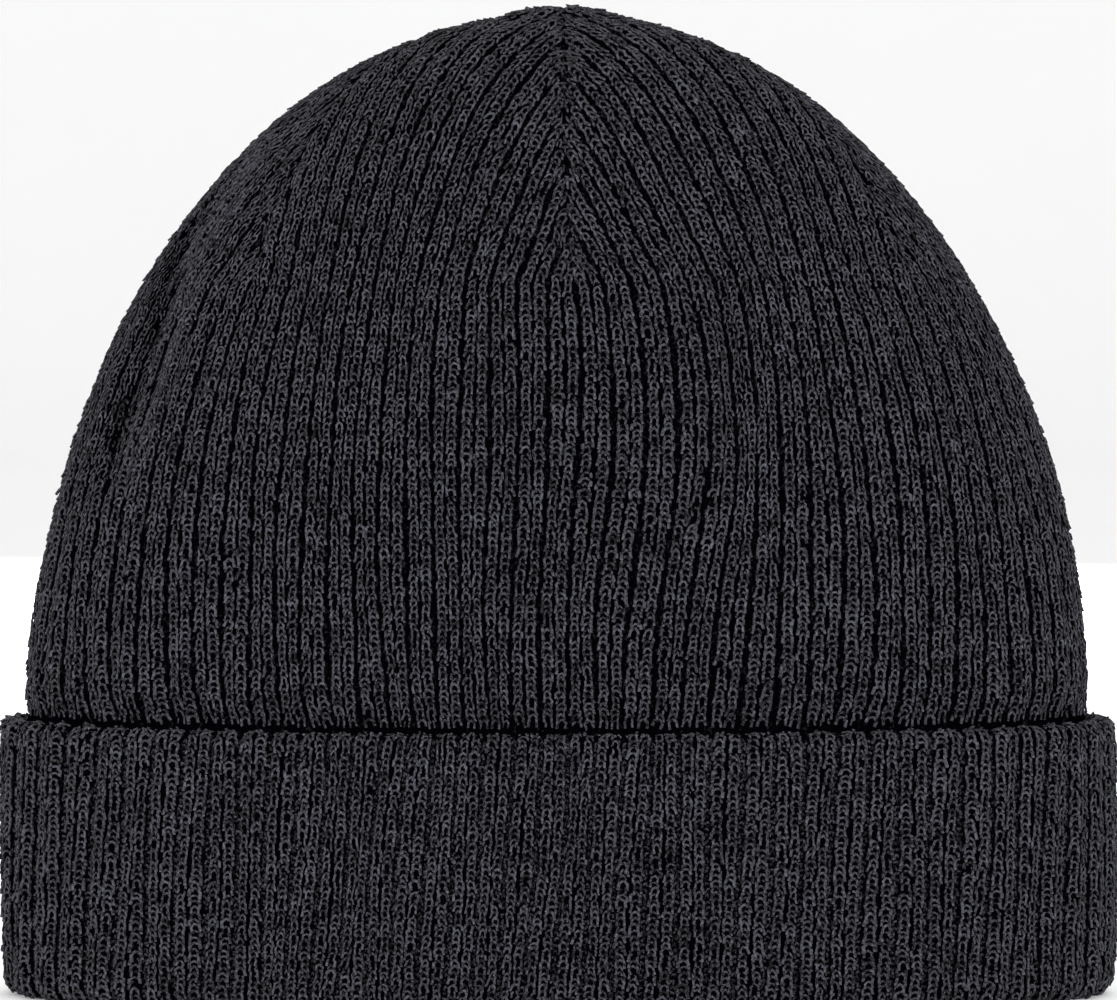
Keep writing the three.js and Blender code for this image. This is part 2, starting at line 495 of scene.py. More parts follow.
def crown_place(place, climb, out, wander):
    """Points of the crown, out metres outside its mean surface, and the directions outwards"""
    place, climb, out = np.broadcast_arrays(place, climb, out)
    girth, height = dome(climb)
    share = spread(place, crown_crowding(climb)) + stray(place, height, wander) * girth**0.5
    angle = PLAN.angle(share)
    start = dome_points(angle, climb)
    shifted = drift(start) / (HALF_WIDTH * np.maximum(girth, 0.2))
    mean = dome_points(angle + shifted, climb)
    outwards = unit(
        np.stack(
            (
                mean[..., 0] / HALF_WIDTH**2,
                mean[..., 1] / HALF_DEPTH**2,
                np.maximum(mean[..., 2] - SHOULDER_HEIGHT, 0) / DOME_HEIGHT**2,
            ),
            axis=-1,
        )
    )
    faces_front = np.abs(np.cos(angle)) ** 0.35
    gap = (mean[..., 2] - GRIP_HEIGHT) / GRIP_REACH
    grip = GRIP_DEPTH * faces_front * np.exp(-gap * gap)
    from_top = np.hypot(mean[..., 0] / HALF_WIDTH, mean[..., 1] / HALF_DEPTH)
    nub = NUB_HEIGHT * smooth_step(from_top, 0.13, 0.03) * (mean[..., 2] > SHOULDER_HEIGHT)
    shift = out - grip + nub + swell(place, height) * girth
    points = mean + outwards * shift[..., None]
    points[..., 1] += soft_folds(mean)
    return points, outwards


# The cuff's section. Out is measured from the crown's mean surface
FACE_OUT = 5.05 * MM
FOLD_INSIDE = -3.2 * MM
FOLD_RISE = 4.5 * MM
EDGE_INSIDE = 0.4 * MM
EDGE_RISE = 2.4 * MM
BACK_OUT = 1.0 * MM


def cuff_section(course, course_height):
    """Out and height on the cuff's face, a number of courses from the middle of the sole.
    The fabric runs round the fold, up the face and over the free edge"""
    fold_out = (FACE_OUT - FOLD_INSIDE) / 2
    turn_length = 1.45 * (fold_out + FOLD_RISE) / 2
    face_length = CUFF_HEIGHT - FOLD_RISE - EDGE_RISE
    length = course * course_height
    turn = np.clip(length / turn_length, 0, 1) * math.pi / 2
    fold_middle = (FACE_OUT + FOLD_INSIDE) / 2
    out = fold_middle + fold_out * np.sin(turn)
    height = FOLD_RISE * (1 - np.cos(turn))
    up = np.clip(length - turn_length, 0, face_length)
    edge_out = (FACE_OUT - EDGE_INSIDE) / 2
    edge_length = 1.45 * (edge_out + EDGE_RISE) / 2
    over = np.clip((length - turn_length - face_length) / edge_length, 0, 1.6) * math.pi / 2
    out = out + 0.35 * MM * np.sin(math.pi * up / face_length) - edge_out * (1 - np.cos(over))
    height = height + up + EDGE_RISE * np.sin(over)
    return out, height


def cuff_courses(course_height):
    """Courses from the middle of the sole to the top of the free edge"""
    fold_out = (FACE_OUT - FOLD_INSIDE) / 2
    edge_out = (FACE_OUT - EDGE_INSIDE) / 2
    around = 1.45 * (fold_out + FOLD_RISE + edge_out + EDGE_RISE) / 2
    return (around + CUFF_HEIGHT - FOLD_RISE - EDGE_RISE) / course_height


CUFF_LEAN = 0.0065  # the cuff's ribs lean to the right going up, by this share of the girth


def cuff_share(rib, height, wander):
    share = spread(rib / RIBS, FOOT_CROWDING) - CENTRE_SHIFT
    lean = CUFF_LEAN * (0.55 + 0.45 * np.cos(TAU * (share + 0.08))) * (height / CUFF_HEIGHT - 0.5)
    return share + lean + stray(share + 0.37, height, wander)


def cuff_place(share, out, height):
    """Points of the cuff and the directions straight outwards"""
    angle = PLAN.angle(share)
    foot = np.stack((HALF_WIDTH * np.sin(angle), -HALF_DEPTH * np.cos(angle), 0 * angle), axis=-1)
    outwards = unit(
        np.stack((np.sin(angle) / HALF_WIDTH, -np.cos(angle) / HALF_DEPTH, 0 * angle), axis=-1)
    )
    shift = out + 0.5 * swell(share + 0.2, height + 0.4) * smooth_step(height, 0, 10 * MM)
    points = foot + outwards * shift[..., None]
    points[..., 2] = height
    return points, outwards


# Mesh making

def new_object(name, mesh):
    thing = bpy.data.objects.new(name, mesh)
    bpy.context.scene.collection.objects.link(thing)
    return thing


def mesh_from(name, points, faces):
    """A mesh of quads and triangles from arrays. A triangle is a row that ends in -1"""
    faces = np.asarray(faces)
    sides = np.where(faces[:, 3] < 0, 3, 4)
    corners = faces.reshape(-1)
    corners = corners[corners >= 0]
    mesh = bpy.data.meshes.new(name)
    mesh.vertices.add(len(points))
    mesh.vertices.foreach_set("co", np.asarray(points, dtype=np.float32).reshape(-1))
    mesh.loops.add(len(corners))
    mesh.loops.foreach_set("vertex_index", corners.astype(np.int32))
    mesh.polygons.add(len(faces))
    starts = np.concatenate(([0], np.cumsum(sides)[:-1]))
    mesh.polygons.foreach_set("loop_start", starts.astype(np.int32))
    mesh.update(calc_edges=True)
    return mesh


def set_attribute(mesh, name, values):
    values = np.asarray(values, dtype=np.float32)
    kind = "FLOAT" if values.ndim == 1 else "FLOAT_VECTOR"
    field = "value" if values.ndim == 1 else "vector"
    attribute = mesh.attributes.new(name, kind, "POINT")
    attribute.data.foreach_set(field, values.reshape(-1))


def set_map(mesh, name, corners):
    layer = mesh.uv_layers.new(name=name)
    layer.data.foreach_set("uv", np.asarray(corners, dtype=np.float32).reshape(-1))


def ring_faces(lower, upper):
    """Quads between two rings of point numbers, facing outwards when upper is above lower"""
    return np.stack((lower, np.roll(lower, -1), np.roll(upper, -1), upper), axis=-1)


def pole_faces(ring, pole, up):
    ahead = np.roll(ring, -1)
    first, second = (ring, ahead) if up else (ahead, ring)
    fill = np.full(len(ring), -1)
    return np.stack((first, second, np.full(len(ring), pole), fill), axis=-1)


# Node trees

def new_tree(name, inputs, outputs=(("Geometry", "NodeSocketGeometry"),)):
    tree = bpy.data.node_groups.new(name, "GeometryNodeTree")
    for label, kind in inputs:
        tree.interface.new_socket(name=label, in_out="INPUT", socket_type=kind)
    for label, kind in outputs:
        tree.interface.new_socket(name=label, in_out="OUTPUT", socket_type=kind)
    start = tree.nodes.new("NodeGroupInput")
    given = {label: Wire(tree, start.outputs[label]) for label, _ in inputs}
    end = tree.nodes.new("NodeGroupOutput")
    return tree, given, end


def named(wire, name, kind="FLOAT"):
    inputs = {"Name": name}
    return wire.node("GeometryNodeInputNamedAttribute", inputs, "Attribute", data_type=kind)


def rib_relief_tree():
    """How far the fabric lies below the crest of its ribs: a furrow at each whole number of ribs,
    and a narrow line between the two wales of each rib"""
    inputs = (
        ("Rib", "NodeSocketFloat"),
        ("Trough", "NodeSocketFloat"),
        ("Sharpness", "NodeSocketFloat"),
    )
    tree, given, end = new_tree("Rib relief", inputs, (("Depth", "NodeSocketFloat"),))
    crest = (given["Rib"] * math.pi).maths("SINE").maths("ABSOLUTE")
    furrow = (1.0 - crest) ** given["Sharpness"]
    between = (crest ** 40.0) * 0.3
    tree.links.new((given["Trough"] * (furrow + between)).socket, end.inputs["Depth"])
    return tree


def fabric_tree(relief):
    """Sinks the furrows and the seams into a plain wall"""
    inputs = (
        ("Geometry", "NodeSocketGeometry"),
        ("Trough", "NodeSocketFloat"),
        ("Sharpness", "NodeSocketFloat"),
        ("Seam Depth", "NodeSocketFloat"),
        ("Material", "NodeSocketMaterial"),
    )
    tree, given, end = new_tree("Ribbed fabric", inputs)
    wire = given["Geometry"]
    depth = wire.node(
        "GeometryNodeGroup",
        {
            "Rib": named(wire, "rib"),
            "Trough": given["Trough"] * named(wire, "ribbed"),
            "Sharpness": given["Sharpness"],
        },
        node_tree=relief,
    )
    depth = depth + given["Seam Depth"] * named(wire, "seam")
    offset = named(wire, "outwards", "FLOAT_VECTOR").scaled(0.0 - depth)
    shaped = wire.node("GeometryNodeSetPosition", {"Geometry": wire, "Offset": offset})
    smooth = wire.node("GeometryNodeSetShadeSmooth", {"Geometry": shaped})
    real = wire.node("GeometryNodeRealizeInstances", {"Geometry": smooth})
    dressed = {"Geometry": real, "Material": given["Material"]}
    tree.links.new(wire.node("GeometryNodeSetMaterial", dressed).socket, end.inputs[0])
    return tree


LEG_SQUARENESS = 0.35  # below 1 the loop's legs run straight up before its head turns over


def loop_geometry(wire, given):
    """One loop of yarn: an arch whose head stands proud and whose feet go into the fabric"""
    arc = wire.node(
        "GeometryNodeCurveArc",
        {
            "Resolution": given["Loop Points"],
            "Radius": 1.0,
            "Start Angle": math.radians(-18),
            "Sweep Angle": math.radians(216),
        },
        mode="RADIUS",
    )
    along = wire.node("GeometryNodeSplineParameter", output="Factor")
    arc = wire.node(
        "GeometryNodeStoreNamedAttribute",
        {"Geometry": arc, "Name": "along", "Value": along},
        data_type="FLOAT",
        domain="POINT",
    )
    place = wire.node("GeometryNodeInputPosition")
    split = {0: place}
    x = wire.node("ShaderNodeSeparateXYZ", split, "X")
    y = wire.node("ShaderNodeSeparateXYZ", split, "Y")
    squared = x.maths("SIGN") * x.maths("ABSOLUTE") ** LEG_SQUARENESS
    shape = wire.node(
        "ShaderNodeCombineXYZ",
        {
            0: squared * given["Loop Width"] * 0.5,
            1: y * given["Loop Length"] * 0.76 - given["Loop Length"] * 0.3,
            2: (y - 0.35) * given["Head Lift"],
        },
    )
    arc = wire.node("GeometryNodeSetPosition", {"Geometry": arc, "Position": shape})
    section = wire.node(
        "GeometryNodeCurvePrimitiveCircle",
        {"Resolution": 3, "Radius": given["Yarn"] * 0.56},
        mode="RADIUS",
    )
    section = wire.node(
        "GeometryNodeStoreNamedAttribute",
        {"Geometry": section, "Name": "around", "Value": along},
        data_type="FLOAT",
        domain="POINT",
    )
    section = wire.node(
        "GeometryNodeTransform",
        {"Geometry": section, "Rotation": (0, 0, math.radians(90))},
    )
    return wire.node(
        "GeometryNodeCurveToMesh",
        {"Curve": arc, "Profile Curve": section, "Fill Caps": True},
    )


def stitch_tree(relief):
    """Sets a loop of yarn on every point of a guide, sunk and tilted as the ribs are there"""
    inputs = (
        ("Geometry", "NodeSocketGeometry"),
        ("Trough", "NodeSocketFloat"),
        ("Sharpness", "NodeSocketFloat"),
        ("Seam Depth", "NodeSocketFloat"),
        ("Loop Width", "NodeSocketFloat"),
        ("Loop Length", "NodeSocketFloat"),
        ("Yarn", "NodeSocketFloat"),
        ("Head Lift", "NodeSocketFloat"),
        ("Tilt", "NodeSocketFloat"),
        ("Loop Points", "NodeSocketInt"),
        ("Unevenness", "NodeSocketFloat"),
        ("Sway", "NodeSocketVector"),
        ("Shift", "NodeSocketFloat"),
        ("Brightness", "NodeSocketFloat"),
        ("Seed", "NodeSocketInt"),
        ("Material", "NodeSocketMaterial"),
    )
    tree, given, end = new_tree("Stitches", inputs)
    wire = given["Geometry"]
    rib = named(wire, "rib")
    outwards = named(wire, "outwards", "FLOAT_VECTOR")
    up = named(wire, "up", "FLOAT_VECTOR")
    size = named(wire, "size", "FLOAT_VECTOR")

    def depth_at(place):
        values = {"Rib": place, "Trough": given["Trough"], "Sharpness": given["Sharpness"]}
        return wire.node("GeometryNodeGroup", values, node_tree=relief)

    def chance(low, high, offset):
        inputs = {"Min": low, "Max": high, "Seed": given["Seed"] + offset}
        kind = "FLOAT_VECTOR" if isinstance(low, tuple) else "FLOAT"
        return wire.node("FunctionNodeRandomValue", inputs, "Value", data_type=kind)

    depth = depth_at(rib) + given["Seam Depth"] * named(wire, "seam")
    shift = chance((-1.0, -1.0, -0.5), (1.0, 1.0, 0.5), 4).scaled(given["Shift"])
    offset = outwards.scaled(0.0 - depth).plus(shift)
    points = wire.node("GeometryNodeSetPosition", {"Geometry": wire, "Offset": offset})

    step = 0.04
    slope = (depth_at(rib + step) - depth_at(rib - step)) / (2 * step * PLAIN_PITCH)
    side = wire.vector("CROSS_PRODUCT", {0: up, 1: outwards})
    facing = outwards.plus(side.scaled(slope * given["Tilt"]))
    turn = wire.node(
        "FunctionNodeAxesToRotation",
        {"Primary Axis": facing, "Secondary Axis": up},
        primary_axis="Z",
        secondary_axis="Y",
    )
    sway = wire.vector(
        "MULTIPLY", {0: chance((-1.0, -1.0, -1.0), (1.0, 1.0, 1.0), 1), 1: given["Sway"]}
    )
    sway = wire.node("FunctionNodeEulerToRotation", {"Euler": sway})
    turn = wire.node(
        "FunctionNodeRotateRotation",
        {"Rotation": turn, "Rotate By": sway},
        rotation_space="LOCAL",
    )
    spread = chance((-1.0, -1.0, -1.0), (1.0, 1.0, 1.0), 2).scaled(given["Unevenness"])
    uneven = wire.vector("ADD", {0: spread, 1: (1.0, 1.0, 1.0)})
    size = wire.vector("MULTIPLY", {0: size, 1: uneven})

    loops = wire.node(
        "GeometryNodeInstanceOnPoints",
        {"Points": points, "Instance": loop_geometry(wire, given), "Rotation": turn, "Scale": size},
    )
    # Each loop gets a random tone; a Brightness below 1 holds it to the darker end, painted shade for
    # loops sunk in the furrows
    loops = wire.node(
        "GeometryNodeStoreNamedAttribute",
        {
            "Geometry": loops,
            "Name": "shade",
            "Value": chance(0.0, 1.0, 3) * given["Brightness"],
        },
        data_type="FLOAT",
        domain="INSTANCE",
    )
    real = wire.node("GeometryNodeRealizeInstances", {"Geometry": loops})
    yarn_map = wire.node(
        "ShaderNodeCombineXYZ", {0: named(wire, "around"), 1: named(wire, "along")}
    )
    mapped = wire.node(
        "GeometryNodeStoreNamedAttribute",
        {"Geometry": real, "Name": "yarn", "Value": yarn_map},
        data_type="FLOAT2",
        domain="CORNER",
    )
    for name in ("around", "along"):
        mapped = wire.node("GeometryNodeRemoveAttribute", {"Geometry": mapped, "Name": name})
    smooth = wire.node("GeometryNodeSetShadeSmooth", {"Geometry": mapped})
    dressed = {"Geometry": smooth, "Material": given["Material"]}
    tree.links.new(wire.node("GeometryNodeSetMaterial", dressed).socket, end.inputs[0])
    return tree


def tree_named(name, maker, *parts):
    return bpy.data.node_groups.get(name) or maker(*parts)


def relief_tree():
    return tree_named("Rib relief", rib_relief_tree)


def run_tree(thing, tree, values, name):
    """Puts a tree on a guide object, sets its inputs, and keeps only the plain mesh it makes"""
    modifier = thing.modifiers.new("Shape", "NODES")
    modifier.node_group = tree
    sockets = {item.name: item.identifier for item in tree.interface.items_tree}
    for label, value in values.items():
        modifier[sockets[label]] = value
    bpy.context.view_layer.update()
    shaped = thing.evaluated_get(bpy.context.evaluated_depsgraph_get())
    mesh = bpy.data.meshes.new_from_object(shaped)
    mesh.name = name
    guide = thing.data
    thing.modifiers.remove(modifier)
    bpy.data.objects.remove(thing)
    bpy.data.meshes.remove(guide)
    if not len(mesh.polygons):
        raise RuntimeError(f"{name} came out empty")
    return new_object(name, mesh)


# Materials

def new_material(name):
    material = bpy.data.materials.get(name)
    if material:
        return material, None, None
    material = bpy.data.materials.new(name)
    material.use_nodes = True
    shader = material.node_tree.nodes["Principled BSDF"]
    return material, shader, Wire(material.node_tree)


def connect(wire, socket):
    wire.tree.links.new(wire.socket, socket)


def yarn_material(colours):
    """Charcoal spun yarn: two plies, loose fibres and a matt surface, with painted shade on each loop's
    head
    """
    material, shader, wire = new_material("charcoal_yarn")
    if not shader:
        return material
    place = wire.node("ShaderNodeTexCoord", output="Object")
    shade = wire.node("ShaderNodeAttribute", output="Fac", attribute_name="shade")
    mapped = wire.node("ShaderNodeUVMap", uv_map="yarn")
    around = wire.node("ShaderNodeSeparateXYZ", {0: mapped}, "X")
    along = wire.node("ShaderNodeSeparateXYZ", {0: mapped}, "Y")
    twist = ((around * 2.0 + along * 5.0) * TAU).maths("SINE") * 0.5 + 0.5
    fibres = wire.node(
        "ShaderNodeTexNoise", {"Vector": place, "Scale": 5200.0, "Detail": 2.0}, "Fac"
    )
    patches = wire.node(
        "ShaderNodeTexNoise", {"Vector": place, "Scale": 90.0, "Detail": 3.0}, "Fac"
    )
    blotches = wire.node(
        "ShaderNodeTexNoise", {"Vector": place, "Scale": 1500.0, "Detail": 1.0}, "Fac"
    )
    # Painted shade: each loop's colour darkens towards its head, to dim the light that the heads catch
    head = (along * math.pi).maths("SINE")
    light = fibres * 1.3 + blotches * 1.8 + twist * 0.15 + shade * 0.3 + patches * 0.25
    light = light - head * 0.12 - 1.54
    dark = [channel * 0.06 for channel in colours.yarn]
    bright = [min(1.0, channel * 2.8) for channel in colours.yarn]
    colour = wire.node(
        "ShaderNodeMix",
        {"Factor": light, "A": (*dark, 1), "B": (*bright, 1)},
        "Result",
        data_type="RGBA",
    )
    connect(colour, shader.inputs["Base Color"])
    bump = wire.node(
        "ShaderNodeBump",
        {"Height": fibres * 0.6 + twist * 0.4, "Strength": 0.5, "Distance": 0.08 * MM},
    )
    connect(bump, shader.inputs["Normal"])
    shader.inputs["Roughness"].default_value = 0.9
    shader.inputs["Specular IOR Level"].default_value = 0.08
    shader.inputs["Sheen Weight"].default_value = 0.04
    shader.inputs["Sheen Roughness"].default_value = 0.5
    return material


def fabric_material(colours):
    """The fabric behind the loops: charcoal yarn painted near black as the shade in the holes between the
    loops, with specks of purl showing in the furrows
    """
    material, shader, wire = new_material("fabric_painted_shade")
    if not shader:
        return material
    mapped = wire.node("ShaderNodeUVMap", uv_map="rib_course")
    rib = wire.node("ShaderNodeSeparateXYZ", {0: mapped}, "X")
    place = wire.node("ShaderNodeTexCoord", output="Object")
    fibres = wire.node(
        "ShaderNodeTexNoise", {"Vector": place, "Scale": 3600.0, "Detail": 2.0}, "Fac"
    )
    crest = (rib * math.pi).maths("SINE").maths("ABSOLUTE")
    trough = (1.0 - crest * 1.9).maths("MAXIMUM", 0.0)
    specks = wire.node(
        "ShaderNodeTexNoise", {"Vector": place, "Scale": 1400.0, "Detail": 1.0}, "Fac"
    )
    bumps = ((specks - 0.57) * 5.0).maths("MAXIMUM", 0.0) * fibres
    purl = (trough * 3.0).maths("MINIMUM", 1.0) * bumps
    light = [channel * 0.8 for channel in colours.yarn]
    # Painted shade: near black everywhere but the purl specks, which take the yarn's colour, a little
    # darker
    colour = wire.node(
        "ShaderNodeMix",
        {
            "Factor": purl.maths("MINIMUM", 1.0),
            "A": (*colours.depth, 1),
            "B": (*light, 1),
        },
        "Result",
        data_type="RGBA",
    )
    connect(colour, shader.inputs["Base Color"])
    bump = wire.node(
        "ShaderNodeBump", {"Height": bumps, "Strength": 0.7, "Distance": 0.35 * MM}
    )
    connect(bump, shader.inputs["Normal"])
    shader.inputs["Roughness"].default_value = 0.95
    shader.inputs["Specular IOR Level"].default_value = 0.0
    return material


def floor_material(colours):
    material, shader, wire = new_material("pale_floor")
    if not shader:
        return material
    place = wire.node("ShaderNodeTexCoord", output="Object")
    grain = wire.node(
        "ShaderNodeTexNoise", {"Vector": place, "Scale": 6.0, "Detail": 2.0}, "Fac"
    )
    pale = [channel * 0.98 for channel in colours.floor]
    colour = wire.node(
        "ShaderNodeMix",
        {"Factor": grain, "A": (*pale, 1), "B": (*colours.floor, 1)},
        "Result",
        data_type="RGBA",
    )
    connect(colour, shader.inputs["Base Color"])
    shader.inputs["Roughness"].default_value = 0.9
    shader.inputs["Specular IOR Level"].default_value = 0.1
    return material


# The fabric behind the loops

COLUMNS_PER_RIB = 6
COLUMNS = RIBS * COLUMNS_PER_RIB


def seam_share(place, climb, sizes):
    """How much of a dart's crease a point has, from 0 off it to 1 in its bottom"""
    across = 0.5 - np.abs(np.mod(place * GORES, 1) - 0.5)
    gore_width = PLAIN_PITCH * RIBS_PER_GORE * ribs_left(climb)
    reach = across * gore_width / sizes.seam_width
    begun = smooth_step(climb, DART_CLIMB - 7 * MM, DART_CLIMB + 6 * MM)
    ended = 1 - 0.7 * smooth_step(climb, TOP_CLIMB - 40 * MM, TOP_CLIMB - 20 * MM)
    return np.exp(-reach * reach) * begun * ended


def crown_row(climb, out, ribbed, sizes):
    """One ring of the crown's fabric: its points and what the tree and the material read"""
    place = np.arange(COLUMNS) / COLUMNS
    climb = np.full(COLUMNS, climb)
    points, outwards = crown_place(place, climb, out, sizes.wander)
    seam = seam_share(place, climb, sizes)
    outside = ribbed >= 0
    return {
        "points": points,
        "outwards": outwards if outside else -outwards,
        "rib": rib_at(place, climb) + (0 if outside else 0.5),
        "seam": seam if outside else 0 * seam,
        "ribbed": abs(ribbed) * (1 - seam),
    }


def crown_fabric(sizes):
    """The crown's wall as one closed mesh: outside, top, inside and hem"""
    crest = -0.1 * MM
    grip_foot, grip_top = GRIP_HEIGHT - 2.2 * GRIP_REACH, GRIP_HEIGHT + 2.2 * GRIP_REACH
    hidden = np.linspace(HEM_HEIGHT, grip_foot, 4)
    gripped = np.linspace(grip_foot, grip_top, 14)[1:]
    shown = np.linspace(grip_top, DART_CLIMB, 26)[1:]
    domed = np.linspace(DART_CLIMB, TOP_CLIMB, 44)[1:-1]
    outside = np.concatenate((hidden, gripped, shown, domed))
    inside = np.concatenate((outside[-2:17:-3], outside[17:4:-2], outside[3::-1]))
    rows = []
    for climb in outside:
        rows.append(crown_row(climb, crest, 0.0 + (climb > GRIP_HEIGHT - GRIP_REACH), sizes))
    for climb in inside:
        rows.append(crown_row(climb, -CROWN_WALL, -0.6, sizes))
    top, _ = crown_place(np.zeros(1), np.full(1, TOP_CLIMB), crest, 0)
    under, _ = crown_place(np.zeros(1), np.full(1, TOP_CLIMB), -CROWN_WALL, 0)
    points = np.concatenate([row["points"] for row in rows] + [top, under])
    numbers = np.arange(len(rows) * COLUMNS).reshape(len(rows), COLUMNS)
    top_point, under_point = len(points) - 2, len(points) - 1
    last = len(outside) - 1
    faces = [ring_faces(numbers[k], numbers[k + 1]) for k in range(last)]
    faces.append(pole_faces(numbers[last], top_point, True))
    faces.append(pole_faces(numbers[last + 1], under_point, False))
    for k in range(last + 1, len(rows) - 1):
        faces.append(ring_faces(numbers[k], numbers[k + 1]))
    faces.append(ring_faces(numbers[-1], numbers[0]))
    mesh = mesh_from("crown_fabric", points, np.concatenate(faces))
    for name in ("rib", "seam", "ribbed"):
        values = np.concatenate([row[name] * np.ones(COLUMNS) for row in rows] + [np.zeros(2)])
        set_attribute(mesh, name, values)
    outwards = [row["outwards"] for row in rows] + [np.array([[0, 0, 1], [0, 0, -1]])]
    set_attribute(mesh, "outwards", np.concatenate(outwards))
    climbs = np.concatenate((outside, inside))
    map_rows(mesh, [row["rib"] for row in rows], climbs / sizes.course)
    return mesh


def map_rows(mesh, ribs, courses):
    """Maps a mesh made of rings: ribs across and courses up, with no jump where a ring closes"""
    corners = np.zeros(len(mesh.loops), dtype=np.int32)
    mesh.loops.foreach_get("vertex_index", corners)
    table = np.concatenate((np.concatenate(ribs), [0.0, 0.0]))
    steps = np.concatenate((np.repeat(courses, COLUMNS), [courses.max()] * 2))
    across = table[np.minimum(corners, len(table) - 1)]
    starts = np.zeros(len(mesh.polygons), dtype=np.int32)
    sides = np.zeros(len(mesh.polygons), dtype=np.int32)
    mesh.polygons.foreach_get("loop_start", starts)
    mesh.polygons.foreach_get("loop_total", sides)
    first = np.repeat(across[starts], sides)
    across = across - np.round((across - first) / RIBS) * RIBS
    up = steps[np.minimum(corners, len(steps) - 1)]
    set_map(mesh, "rib_course", np.stack((across, up), axis=-1))


def cuff_fabric(sizes):
    """The cuff's wall as one closed mesh: fold, face, free edge, back and ledge"""
    total = cuff_courses(sizes.course)
    turn = np.linspace(0, 7 / 60, 9) * total
    face = np.linspace(7 / 60, 55 / 60, 18)[1:] * total
    edge = np.linspace(55 / 60, 1, 9)[1:] * total
    stations = []
    for course in np.concatenate((turn, face, edge)):
        out, height = cuff_section(course, sizes.course)
        ribbed = float(smooth_step(course, 0, 3)) * float(1 - smooth_step(course, total - 2, total))
        stations.append((course, out - 0.1 * MM, height, 0.15 + 0.85 * ribbed))
    ledge = HEM_HEIGHT - 0.25 * MM
    back = ((BACK_OUT, CUFF_HEIGHT - 2.4 * MM), (BACK_OUT, 25 * MM), (BACK_OUT, ledge))
    inner = ((FOLD_INSIDE + 0.1 * MM, ledge), (FOLD_INSIDE, 3.2 * MM), (FOLD_INSIDE + 0.5 * MM, 1.3 * MM))
    last = inner[-1]
    sole = ((last[0] + 1.2 * MM, 0.25 * MM),)
    for k, (out, height) in enumerate(back + inner + sole):
        stations.append((total + 2 + k, out, height, 0.0))
    column = np.arange(COLUMNS) / COLUMNS_PER_RIB
    rows = []
    for course, out, height, ribbed in stations:
        height = np.full(COLUMNS, height)
        share = cuff_share(column, height, sizes.wander)
        points, outwards = cuff_place(share, np.full(COLUMNS, out), height)
        rows.append({"points": points, "outwards": outwards, "ribbed": ribbed, "course": course})
    points = np.stack([row["points"] for row in rows])
    outwards = section_normals(points, np.stack([row["outwards"] for row in rows]))
    numbers = np.arange(points.shape[0] * COLUMNS).reshape(points.shape[0], COLUMNS)
    faces = [ring_faces(numbers[k], numbers[(k + 1) % len(rows)]) for k in range(len(rows))]
    mesh = mesh_from("cuff_fabric", points.reshape(-1, 3), np.concatenate(faces))
    set_attribute(mesh, "rib", np.tile(column, len(rows)))
    set_attribute(mesh, "ribbed", np.repeat([row["ribbed"] for row in rows], COLUMNS))
    set_attribute(mesh, "seam", np.zeros(points.shape[0] * COLUMNS))
    set_attribute(mesh, "outwards", outwards.reshape(-1, 3))
    map_rows(mesh, [column] * len(rows), np.array([row["course"] for row in rows]))
    return mesh


def section_normals(points, sideways):
    """Directions outwards on a closed section, square to the way round it"""
    ahead = np.roll(points, -1, axis=0) - np.roll(points, 1, axis=0)
    along = np.roll(points, -1, axis=1) - np.roll(points, 1, axis=1)
    return unit(np.cross(along, ahead))


# The loops

SEAM_MARGIN = 0.02  # of a rib that the darts take up on either side
FURROW_FILL = 0.35  # loops fill the crown's furrows this near to a dart, in ribs
CREST_FILL = 0.3  # and the middles of its ribs this near
RIDGE_FILL = (-3.0 * MM, 4.5 * MM)  # and both this far to the right of the left side's fold
LOOPLESS = 0.2 * MM  # the crown's gripped front and back show no loops up to this above the edge


def on_ridge(points):
    """Whether points lie on the smooth ridge beside the left side's fold"""
    away, walked, length = place_by_line(points[..., 0], points[..., 2], SOFT_FOLDS[0]["line"])
    along = (walked > SOFT_FOLD_END / 2) & (length - walked > SOFT_FOLD_END / 2)
    low, high = RIDGE_FILL
    return (away > low) & (away < high) & along & (points[..., 1] < 0)


def wales_of(first_rib, last_rib):
    """The places of the knit wales, in ribs"""
    crests = np.arange(first_rib, last_rib) + 0.5
    return np.sort(np.concatenate((crests - WALE_OFFSET, crests + WALE_OFFSET)))


def furrows_of(first_rib, last_rib):
    """The places of the furrows, in ribs"""
    return np.arange(first_rib, last_rib) + 0.0


def fillers_of(first_rib, last_rib):
    """The places between the knit wales, in ribs, and how near to a dart loops fill each"""
    places = np.arange(2 * first_rib, 2 * last_rib + 1) / 2
    return places, np.where(places % 1 == 0, FURROW_FILL, CREST_FILL)


def even_climbs(gore, course):
    """Climbs one course apart, measured up the middle of a gore"""
    climb = np.linspace(GRIP_HEIGHT - GRIP_REACH, TOP_CLIMB - 0.5 * MM, 6001)
    middle = spread((gore + 0.5) / GORES, crown_crowding(climb))
    steps = np.linalg.norm(np.diff(dome_points(PLAN.angle(middle), climb), axis=0), axis=-1)
    walked = np.concatenate(([0.0], np.cumsum(steps)))
    return np.interp(np.arange(int(walked[-1] / course)) * course, walked, climb)


